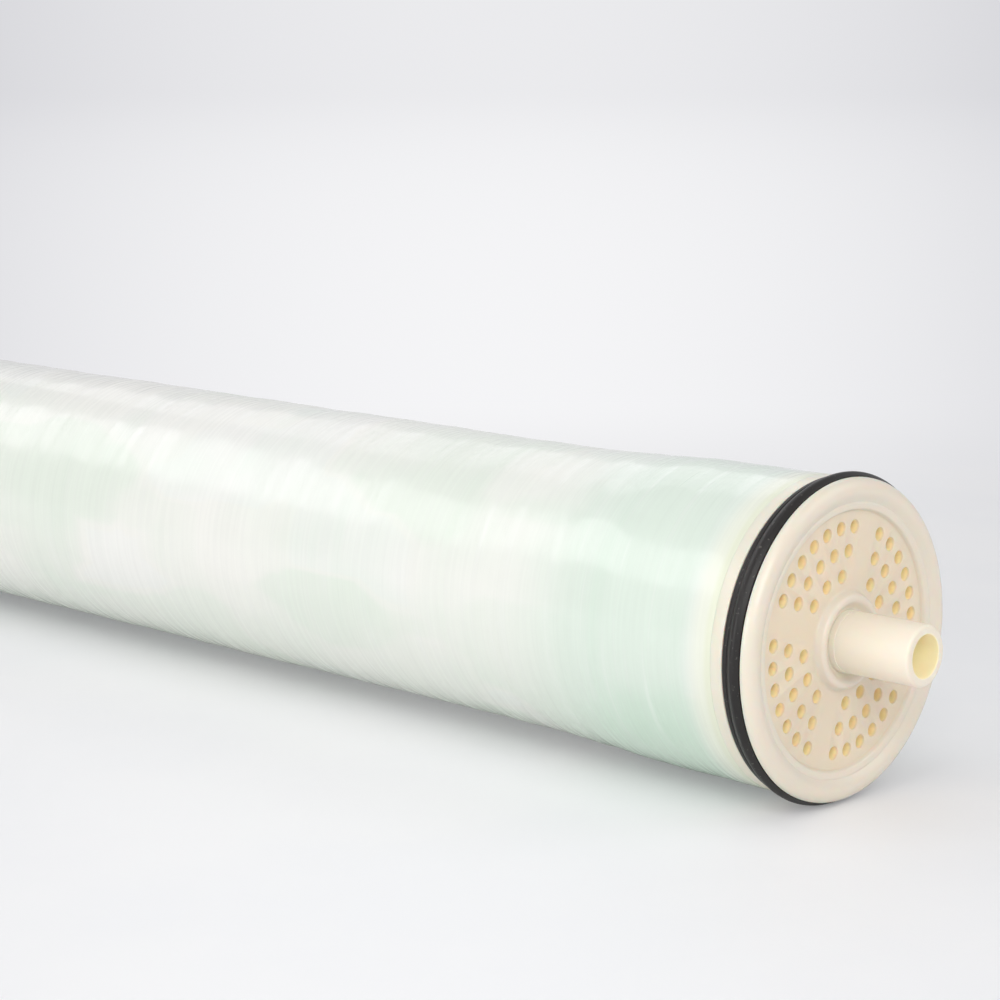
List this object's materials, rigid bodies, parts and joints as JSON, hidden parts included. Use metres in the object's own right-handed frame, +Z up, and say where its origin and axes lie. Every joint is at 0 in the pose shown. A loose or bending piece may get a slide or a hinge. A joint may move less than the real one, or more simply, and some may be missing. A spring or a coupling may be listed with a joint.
{
  "type": "ro membrane element",
  "caption": "Spiral-wound reverse osmosis element with perforated end caps, a brine seal and a central permeate tube.",
  "frame": {"origin": "on the permeate tube's axis, at mid-length", "axes": "+X along the tube towards the feed end with the brine seal, +Z up as the element lies"},
  "size_m": [1.016, 0.103, 0.103],
  "materials": {
    "ivory_cap": "glossy ivory moulding",
    "black_rubber": "satin black rubber",
    "cream_tube": "satin cream tube",
    "glass_resin": "glossy wound glass and resin, white with a pale green tint",
    "clear_tape": "thin plastic tape",
    "membrane": "white polymer sheet",
    "spacer_net": "plastic net"
  },
  "bodies": {
    "root": {"feed_end_cap": "ivory_cap", "concentrate_end_cap": "ivory_cap", "brine_seal": "black_rubber", "permeate_tube": "cream_tube", "fiberglass_shell": "glass_resin", "wrap_tape": "clear_tape", "membrane_leaf_1": "membrane", "membrane_leaf_2": "membrane", "membrane_leaf_3": "membrane", "membrane_leaf_4": "membrane", "membrane_leaf_5": "membrane", "feed_spacer_1": "spacer_net", "feed_spacer_2": "spacer_net", "feed_spacer_3": "spacer_net", "feed_spacer_4": "spacer_net", "feed_spacer_5": "spacer_net"}
  },
  "joints": []
}
